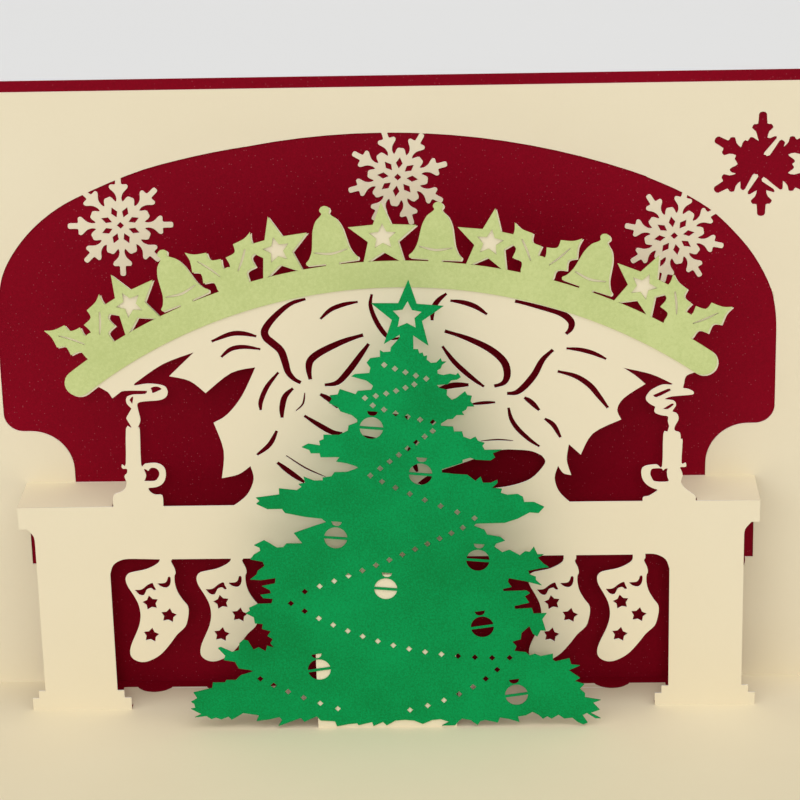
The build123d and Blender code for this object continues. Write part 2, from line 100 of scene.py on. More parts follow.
class Paint:
    def __init__(self, tree):
        self.tree = tree

    def node(self, kind, settings, inputs, out=0):
        new = self.tree.nodes.new(kind)
        for name, value in settings.items():
            setattr(new, name, value)
        for name, value in inputs.items():
            if isinstance(value, Wire):
                self.tree.links.new(value.socket, new.inputs[name])
            else:
                new.inputs[name].default_value = value
        return Wire(new.outputs[out]) if len(new.outputs) else None

    def mix(self, factor, first, second):
        return self.node("ShaderNodeMix", {"data_type": "RGBA"}, {0: factor, 6: first, 7: second}, out=2)

    def noise(self, vector, size, detail=2.0, rough=0.5):
        return self.node("ShaderNodeTexNoise", {}, {
            "Vector": vector, "Scale": 1 / size, "Detail": detail, "Roughness": rough})

    def ramp(self, factor, low, high):
        return self.node("ShaderNodeMapRange", {"interpolation_type": "SMOOTHSTEP"}, {
            "Value": factor, "From Min": low, "From Max": high})


def newMaterial(name):
    material = bpy.data.materials.new(name)
    material.use_nodes = True
    material.node_tree.nodes.clear()
    paint = Paint(material.node_tree)
    place = paint.node("ShaderNodeTexCoord", {}, {}, out="Object")
    return material, paint, place


def finishMaterial(paint, look, colour, roughness, height):
    bump = paint.node("ShaderNodeBump", {}, {"Height": height, "Strength": 1.0, "Distance": look["relief"]})
    shader = paint.node("ShaderNodeBsdfPrincipled", {}, {
        "Base Color": colour, "Roughness": roughness, "Normal": bump,
        "Specular IOR Level": look["specular"]})
    paint.node("ShaderNodeOutputMaterial", {}, {"Surface": shader})


# Burgundy pearl card of the cover
coverLook = {
    "colour": rgb(146, 0, 30), "shade": rgb(98, 0, 14), "pearl": rgb(205, 120, 130),
    "cloudSize": 30 * mm, "grainSize": 0.4 * mm, "grainShare": 0.65,
    "speckSize": 0.5 * mm, "speckShare": 0.1, "speckEdge": (0.34, 0.1), "speckStrength": 0.25,
    "roughness": 0.62, "speckGloss": 0.25, "relief": 0.03 * mm, "specular": 0.06,
}


def makeCoverCard(look):
    material, paint, place = newMaterial("coverCard")
    cloud = paint.noise(place, look["cloudSize"])
    grain = paint.noise(place, look["grainSize"], detail=3.0, rough=0.65)
    cells = {"Vector": place, "Scale": 1 / look["speckSize"], "Randomness": 1.0}
    away = paint.node("ShaderNodeTexVoronoi", {}, cells, out="Distance")
    chance = paint.node("ShaderNodeTexVoronoi", {}, cells, out="Color")
    picked = paint.node("ShaderNodeSeparateColor", {}, {"Color": chance}, out="Red") < look["speckShare"]
    speck = paint.ramp(away, *look["speckEdge"]) * picked
    spread = (1 - look["grainShare"]) * cloud + look["grainShare"] * grain
    card = paint.mix(spread, look["shade"], look["colour"])
    colour = paint.mix(speck * look["speckStrength"], card, look["pearl"])
    roughness = look["roughness"] - look["speckGloss"] * speck
    finishMaterial(paint, look, colour, roughness, grain)
    return material


# Cream card of the liner; its shares are those of cloud, fibre and grain
linerLook = {
    "name": "linerCard", "colour": rgb(232, 221, 192), "shade": rgb(226, 213, 182),
    "cloudSize": 22 * mm, "fibreSize": 0.9 * mm, "grainSize": 0.2 * mm, "shares": (0.5, 0.3, 0.2),
    "roughness": 0.62, "fibreRoughness": 0.1, "fibreRelief": 0.6, "relief": 0.025 * mm, "specular": 0.15,
}
# Paler card for the cut faces: a painted highlight along the cuts, together with the paler core of the card
edgeCoreAndHighlightLook = dict(linerLook, name="linerEdge", colour=rgb(250, 246, 236), shade=rgb(243, 237, 223))


def makeLinerCard(look):
    material, paint, place = newMaterial(look["name"])
    cloud = paint.noise(place, look["cloudSize"], detail=3.0)
    fibre = paint.noise(place, look["fibreSize"], detail=4.0, rough=0.7)
    grain = paint.noise(place, look["grainSize"], detail=2.0, rough=0.6)
    cloudShare, fibreShare, grainShare = look["shares"]
    spread = cloudShare * cloud + fibreShare * fibre + grainShare * grain
    colour = paint.mix(spread, look["shade"], look["colour"])
    roughness = look["roughness"] + look["fibreRoughness"] * fibre
    height = look["fibreRelief"] * fibre + (1 - look["fibreRelief"]) * grain
    finishMaterial(paint, look, colour, roughness, height)
    return material


# Coloured cards of the tree and the banner, with a felt-marked grain
feltLook = {
    "cloudSize": 14 * mm, "grainSize": 0.25 * mm, "shares": (0.3, 0.5, 0.2), "contrast": (0.35, 0.65),
    "roughness": 0.6, "feltRoughness": 0.15, "feltRelief": 0.6, "relief": 0.04 * mm, "specular": 0.1,
}
treeLook = dict(feltLook, name="treeCard", feltSize=0.5 * mm, colour=rgb(0, 151, 80), shade=rgb(0, 122, 58))
bannerLook = dict(feltLook, name="bannerCard", feltSize=0.7 * mm,
                  colour=rgb(198, 207, 141), shade=rgb(184, 195, 127))


def makeFeltCard(look):
    material, paint, place = newMaterial(look["name"])
    cloud = paint.noise(place, look["cloudSize"])
    felt = paint.noise(place, look["feltSize"], detail=3.0, rough=0.7)
    grain = paint.noise(place, look["grainSize"], detail=2.0)
    cloudShare, feltShare, grainShare = look["shares"]
    spread = cloudShare * cloud + feltShare * felt + grainShare * grain
    colour = paint.mix(paint.ramp(spread, *look["contrast"]), look["shade"], look["colour"])
    roughness = look["roughness"] + look["feltRoughness"] * felt
    height = look["feltRelief"] * felt + (1 - look["feltRelief"]) * grain
    finishMaterial(paint, look, colour, roughness, height)
    return material


def dress(piece, material):
    piece.data.materials.clear()
    piece.data.materials.append(material)
    if piece.name not in nodes:
        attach(piece, "root")


def paleEdgesCoreAndHighlight(piece, material, sideways=0.5, slack=1.1):
    # the cut faces get a paler card: partly the paler core of the card, partly a painted highlight standing
    # in for the light that the cuts catch
    piece.data.materials.append(material)
    for face in piece.data.polygons:
        depths = [piece.data.vertices[index].co.y for index in face.vertices]
        if abs(face.normal.y) < sideways and max(depths) - min(depths) < slack * cardThick:
            face.material_index = 1


def deselect():
    bpy.ops.object.select_all(action="DESELECT")


def pick(piece):
    deselect()
    piece.select_set(True)
    bpy.context.view_layer.objects.active = piece


# Sheets cut as round as a blade leaves them: shallow corners along a cut are bevelled away
blade = {
    "shallow": math.radians(4), "sharp": math.radians(52), "flat": math.radians(0.5),
    "share": 30, "steps": 2, "straight": 0.99, "error": 0.02 * mm,
}


def copyNode(node, name, weld=0.001 * mm):
    piece = nodes[node].copy()
    piece.data = nodes[node].data.copy()
    bpy.context.scene.collection.objects.link(piece)
    piece.name = name
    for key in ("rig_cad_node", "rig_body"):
        del piece[key]
    piece.parent = None
    pick(piece)
    bpy.ops.object.mode_set(mode="EDIT")
    bpy.ops.mesh.select_all(action="SELECT")
    bpy.ops.mesh.remove_doubles(threshold=weld)
    bpy.ops.object.mode_set(mode="OBJECT")
    return piece


def cutAway(piece, cutter):
    pick(piece)
    cut = piece.modifiers.new("cut", "BOOLEAN")
    cut.operation, cut.solver, cut.object = "DIFFERENCE", "EXACT", cutter
    bpy.ops.object.modifier_apply(modifier="cut")
    bpy.data.objects.remove(cutter)


def clearFront(piece, front, back, error=0.01 * mm):
    # takes out what lies wholly between two depths
    mesh = bmesh.new()
    mesh.from_mesh(piece.data)
    inside = [face for face in mesh.faces
              if all(front - error < vert.co.y < back + error for vert in face.verts)]
    bmesh.ops.delete(mesh, geom=inside, context="FACES")
    mesh.to_mesh(piece.data)
    mesh.free()


def roundCuts(piece):
    pick(piece)
    bpy.ops.object.mode_set(mode="EDIT")
    bpy.ops.mesh.select_all(action="SELECT")
    bpy.ops.mesh.dissolve_limited(angle_limit=blade["flat"])
    bpy.ops.mesh.select_all(action="DESELECT")
    bpy.ops.mesh.select_mode(type="EDGE")
    mesh = bmesh.from_edit_mesh(piece.data)
    for edge in mesh.edges:
        run = edge.verts[1].co - edge.verts[0].co
        through = max(abs(run.y), abs(run.z)) > blade["straight"] * run.length
        if len(edge.link_faces) == 2 and through and abs(run.length - cardThick) < blade["error"]:
            edge.select_set(blade["shallow"] < edge.calc_face_angle() < blade["sharp"])
    bmesh.update_edit_mesh(piece.data)
    bpy.ops.mesh.bevel(offset_type="PERCENT", offset_pct=blade["share"], segments=blade["steps"],
                       affect="EDGES", clamp_overlap=True)
    bpy.ops.mesh.select_all(action="SELECT")
    bpy.ops.mesh.quads_convert_to_tris()
    bpy.ops.object.mode_set(mode="OBJECT")
    print(piece.name, "cut round with", len(piece.data.polygons), "faces")


# Fir tree: millimetres across and above the liner's floor, clockwise from the neck under the star
treeShape = {
    "right": [
        (7.2, 96.8), (7.2, 93.5), (8.2, 93.5), (8.5, 92.5), (9.2, 92.7), (9.5, 91.8), (10.2, 92),
        (10.1, 91), (11, 90.2), (12.2, 90.3), (13.2, 91.3), (13.5, 90.5), (14.4, 90.5), (13.5, 89.8),
        (13.2, 89), (12.4, 88.5), (12.5, 87.6), (13.7, 87.3), (15.2, 87.6), (16.5, 87.3), (17, 87.8),
        (17.6, 86.8), (16.7, 86.2), (15.5, 86.1), (14.7, 85.2), (12.2, 85), (12.7, 84.3), (14.5, 83.8),
        (14.4, 82.5), (15.5, 81.4), (16.5, 81.8), (18.5, 83.4), (19, 82.5), (20, 82.3), (19.7, 81),
        (20.5, 79.8), (19, 79.8), (18.7, 79.1), (17.7, 78.5), (18.2, 77.8), (16.5, 77.8), (15.7, 76.9),
        (14.5, 76.8), (13, 75.8), (13, 75.2), (15.7, 75), (15.9, 73.8), (17.7, 73.8), (18, 72.5),
        (19.5, 71.9), (20.7, 72.5), (21.2, 71.5), (22.7, 71), (22.2, 70.3), (22.7, 69.3), (26.5, 69.3),
        (24.5, 68.5), (25, 67.5), (24, 66.8), (20.7, 67), (19.5, 67.5), (17.7, 67), (17.7, 66.3),
        (16.2, 65.8), (13, 64.8), (13, 63.9), (16, 63.5), (18.7, 63.3), (20.5, 61.8), (21.7, 62.8),
        (22.2, 61.3), (24, 61.3), (25.5, 62), (25.5, 61.3), (24.2, 60.1), (26.5, 59.8), (26.2, 58.8),
        (27.7, 58.3), (30, 58.5), (31.2, 57.8), (31.5, 56.5), (33.7, 56.5), (36, 55.3), (34.7, 53.8),
        (32.7, 54), (30, 52.5), (27, 51.5), (20.5, 51.4), (20, 50.8), (22.4, 49.8), (23, 48.6), (26, 48),
        (27, 47.1), (25, 46.4), (24.6, 45.6), (26.4, 44.2), (28, 44.8), (30.4, 43.4), (31.6, 44.4),
        (32.6, 44.2), (33.6, 45.5), (34.4, 43.6), (35.8, 43.6), (34.4, 42.8), (35.8, 41.2), (37, 40.4),
        (35.2, 40.2), (32.2, 39.6), (32.6, 38.6), (34, 38), (34, 37.2), (35.3, 35.9), (31.6, 37),
        (27.8, 37.8), (27.6, 36.8), (28.4, 35.6), (26.4, 35.1), (26.6, 34.5), (31.8, 34.6), (32.6, 34),
        (31.4, 33.2), (32.4, 31.6), (29, 30.8), (29.2, 30), (33, 30.2), (33.4, 28.8), (36.4, 28.9),
        (35.4, 27.4), (36.2, 24.5), (35, 24.6), (34.2, 23), (33.2, 23.8), (32.4, 25.7), (30.6, 24),
        (30.4, 22.4), (28.4, 21.8), (29.4, 20.6), (28.9, 19.4), (31.6, 19), (32.4, 18.2), (33.6, 18.6),
        (35, 18), (37.8, 18.6), (37.8, 17), (38.4, 16.6), (41.6, 17.4), (42, 15.8), (44, 15.6),
        (41.4, 14.4), (44, 12.4), (42.8, 11.6), (45, 10.8), (44, 9.6), (45.2, 8.4), (45.2, 7.4),
        (48.8, 6.7), (47, 6), (48.6, 4.2), (46.4, 3.4), (48.8, 2), (47.6, 2), (45.6, 3.4), (44.6, 2.8),
        (45.8, 0.9),
    ],
    "hem": [
        (44.8, 0.45), (43.6, 1), (42.2, 2.2), (40.4, 2), (39, 3), (37.4, 2), (36.4, 2.6), (35.4, 2),
        (34.4, 3), (33, 3.8), (31.4, 2.9), (29.6, 2.6), (29.9, 1.2), (27.6, 2), (25.4, 2.4), (24.9, 1.1),
        (22, 1.8), (20.8, 1.5), (20.2, 0.5), (18.6, 1.8), (16.6, 2.2), (15.8, 1.6), (14.9, 0.45),
        (11.9, 0.45), (13.6, 1.4), (11.6, 2.1), (9.6, 1.9), (7.4, 0.9), (5.4, 1.8), (3.2, 2), (1, 1.8),
        (-1, 0.6), (-1.9, 1.5), (-4.1, 0.45), (-4.4, 1.5), (-7.6, 0.7), (-7.9, 1.2), (-10, 1),
        (-12.6, 0.45), (-13.1, 1.8), (-16.4, 2), (-17.3, 3.1), (-20.2, 1.7), (-21, 2.7), (-23.4, 1.8),
        (-26.4, 0.6), (-25.4, 2.2), (-26, 3), (-28.4, 2.4), (-31.4, 2), (-30.8, 3.5), (-34.4, 4.1),
        (-37.2, 2.4), (-37.9, 3.2), (-39.6, 2.5), (-40.8, 3), (-42, 2.6), (-43, 3.4), (-45.8, 3.1),
    ],
    "left": [
        (-44.2, 3.9), (-46.6, 5.3), (-45.6, 5.5), (-45.8, 6.6), (-46.5, 7.1), (-45, 8), (-45.8, 9.5),
        (-41.4, 10.6), (-41.2, 12), (-38.4, 12), (-38, 12.6), (-35.8, 12.6), (-34.6, 13.8), (-31.6, 14.8),
        (-32.4, 15.2), (-35, 15.6), (-35.8, 17.3), (-38.4, 17.8), (-38, 18.9), (-39.6, 20.8), (-39, 21.1),
        (-36.4, 19.8), (-34.8, 20.2), (-34.6, 22), (-33.6, 22.9), (-32.6, 22.6), (-31.4, 20.3),
        (-30.2, 20.9), (-28.6, 19.9), (-28.2, 21.3), (-26.6, 20.8), (-27.4, 22), (-26.8, 23), (-28, 23.8),
        (-27.2, 25), (-29.2, 25.6), (-29, 26.9), (-30.8, 27), (-31, 28.6), (-32.8, 29.6), (-31.8, 30.2),
        (-32, 30.9), (-30, 31.9), (-26.8, 32), (-26.4, 33.2), (-28.6, 33.4), (-29.2, 34.2), (-26.8, 34.5),
        (-27, 35.4), (-28.8, 36.4), (-25.8, 37), (-25.6, 38.4), (-29, 37.9), (-31.4, 38.1), (-30, 39.2),
        (-29.6, 40.2), (-28, 41.4), (-28.4, 42.5), (-31.2, 43.1), (-30.4, 44.2), (-28.8, 45.2), (-29, 46),
        (-30.2, 46.6), (-27.9, 47.8), (-26.6, 47), (-25, 45.9), (-23.6, 46), (-22.8, 46.9), (-19.1, 46.9),
        (-21, 49.5), (-16, 51.3), (-13.5, 52.1), (-14.5, 53), (-18.3, 53.5), (-22.8, 54.5), (-23.5, 55.5),
        (-26.8, 55.5), (-29.3, 56.8), (-28.5, 57.5), (-29.3, 58.3), (-24, 59), (-24, 60.5), (-20, 60),
        (-18.8, 60.8), (-19.5, 61.5), (-18, 61.8), (-18.3, 63.3), (-16, 62.3), (-14, 62.3), (-14, 63),
        (-12, 63.3), (-11.3, 64.3), (-8.5, 64.3), (-5.8, 65.3), (-6.5, 65.8), (-8.5, 66.5), (-10.8, 66.9),
        (-10, 68), (-14.3, 68), (-14.5, 69), (-16.5, 69), (-16.8, 69.8), (-18.5, 70.5), (-17, 71.3),
        (-14.3, 70.8), (-14.5, 71.9), (-13.5, 72.3), (-13.5, 73.4), (-10, 73.3), (-8, 74.3), (-7.8, 75.5),
        (-5.8, 76.3), (-5.8, 77), (-7, 78.1), (-9.5, 79), (-10, 80), (-12, 81), (-11.3, 82),
        (-11.8, 82.8), (-10, 83), (-9.5, 84.3), (-6, 83), (-5.5, 83.8), (-2.5, 84), (-2, 85),
        (-2.5, 85.5), (-3.5, 86.3), (-6.8, 87.3), (-6, 87.8), (-2.8, 88), (-2.5, 89.3), (-3.3, 90.5),
        (-2.5, 91.5), (-0.3, 91.8), (-0.3, 93.4), (0.5, 92.9), (2, 93), (2.2, 94), (4.2, 96.3), (4.2, 97),
    ],
    "star": (5.95, 101.4), "starTips": 8.4, "starNotches": 3.5, "starTurn": -3,
    "holeTips": 3.4, "holeNotches": 1.75, "diamond": 0.78,
    "garland": [  # how many diamonds, then the three points they hang through
        (5, (0.6, 89.9), (5.3, 88.1), (9.9, 86.5)), (6, (7.2, 85.2), (2.0, 83.4), (-3.9, 82.1)),
        (6, (-2.2, 80.3), (4.2, 77.9), (11.2, 76.1)), (8, (11.1, 74.0), (4.4, 69.1), (-3.2, 63.4)),
        (7, (-0.6, 61.9), (9.0, 57.3), (20.2, 52.7)), (13, (17.5, 50.4), (0.6, 42.6), (-19.0, 34.9)),
        (15, (-22.3, 32.0), (1.0, 21.1), (27.8, 17.7)), (7, (24.9, 14.7), (16.0, 8.5), (4.5, 4.5)),
        (6, (-30.1, 12.9), (-22.0, 8.7), (-12.3, 5.0)),
    ],
    "ballRadius": 2.65, "ballSteps": 16, "stripe": 0.55, "neck": 0.25,
    "capWidth": 2.5, "capBowl": [(1, 1.15), (0.75, 0.35), (0.3, 0)],  # share of the half width, rise
    "balls": [  # across, height, tilt of the stripe
        (-2.65, 74.9, -5), (8.15, 63.6, -5), (-11.5, 48.2, -5), (-0.4, 35.4, -5),
        (20.8, 42.3, -5), (21.6, 25.6, 8), (-16.3, 15.1, 8), (29.3, 8.2, 8),
    ],
}


def starPoints(middle, tips, notches, turn):
    angles = [math.radians(90 + turn - 36 * step) for step in range(10)]
    reach = [tips, notches] * 5
    return [(middle[0] + r * math.cos(a), middle[1] + r * math.sin(a)) for r, a in zip(reach, angles)]


def arcPoints(middle, radius, begin, end, steps):
    angles = [math.radians(begin + (end - begin) * step / steps) for step in range(steps + 1)]
    return [(middle[0] + radius * math.cos(a), middle[1] + radius * math.sin(a)) for a in angles]


def turned(points, middle, tilt):
    cosine, sine = math.cos(math.radians(tilt)), math.sin(math.radians(tilt))
    return [(middle[0] + cosine * x - sine * z, middle[1] + sine * x + cosine * z) for x, z in points]


def discPoints(middle, radius, sides):
    return arcPoints(middle, radius, 0, 360 - 360 / sides, sides - 1)


def diamondPoints(middle, half):
    x, z = middle
    return [(x + half, z), (x, z + half), (x - half, z), (x, z - half)]


def flatSheet(name, rings, front, back, weld=0.002 * mm):
    # a closed outline and its holes as one filled curve, stood up between two depths
    curve = bpy.data.curves.new(name, "CURVE")
    curve.dimensions, curve.fill_mode = "2D", "BOTH"
    for ring in rings:
        spline = curve.splines.new("POLY")
        spline.points.add(len(ring) - 1)
        for point, (x, height) in zip(spline.points, ring):
            point.co = (x * mm, height * mm, 0, 1)
        spline.use_cyclic_u = True
    curve.extrude = (back - front) / 2
    piece = bpy.data.objects.new(name, curve)
    bpy.context.scene.collection.objects.link(piece)
    pick(piece)
    bpy.ops.object.convert(target="MESH")
    piece = bpy.context.object
    piece.data.transform(Matrix.Rotation(math.radians(90), 4, "X"))
    piece.data.transform(Matrix.Translation((0, (front + back) / 2, floorTop)))
    bpy.ops.object.mode_set(mode="EDIT")
    bpy.ops.mesh.select_all(action="SELECT")
    bpy.ops.mesh.remove_doubles(threshold=weld)
    bpy.ops.mesh.normals_make_consistent(inside=False)
    bpy.ops.object.mode_set(mode="OBJECT")
    return piece


def throughThree(start, middle, end, share):
    # parabola that passes the middle point half way
    a, b, c = (1 - share) * (1 - 2 * share), 4 * share * (1 - share), share * (2 * share - 1)
    return tuple(a * p + b * q + c * r for p, q, r in zip(start, middle, end))


def makeTree(shape):
    star = starPoints(shape["star"], shape["starTips"], shape["starNotches"], shape["starTurn"])
    aboveNeck = star[6:] + star[:5]  # all but the notch over the neck
    rings = [shape["right"] + shape["hem"] + shape["left"] + aboveNeck]
    rings.append(starPoints(shape["star"], shape["holeTips"], shape["holeNotches"], shape["starTurn"]))
    for count, *through in shape["garland"]:
        spots = [throughThree(*through, step / (count - 1)) for step in range(count)]
        rings += [diamondPoints(spot, shape["diamond"]) for spot in spots]
    radius, cap = shape["ballRadius"], shape["capWidth"] / 2
    lift = math.degrees(math.asin(shape["stripe"] / 2 / radius))
    capLow = radius + shape["neck"]
    upper = arcPoints((0, 0), radius, lift, 180 - lift, shape["ballSteps"])
    lower = arcPoints((0, 0), radius, 180 + lift, 360 - lift, shape["ballSteps"])
    side = [(share * cap, capLow + rise) for share, rise in shape["capBowl"]]
    bowl = [(-x, z) for x, z in side] + side[::-1]
    for x, z, tilt in shape["balls"]:
        rings += [turned(hole, (x, z), tilt) for hole in (upper, lower, bowl)]
    low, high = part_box("tree")
    piece = flatSheet("firTree", rings, low.y, high.y)
    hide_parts("tree")
    print("tree cut with", len(rings) - 1, "holes")
    return piece


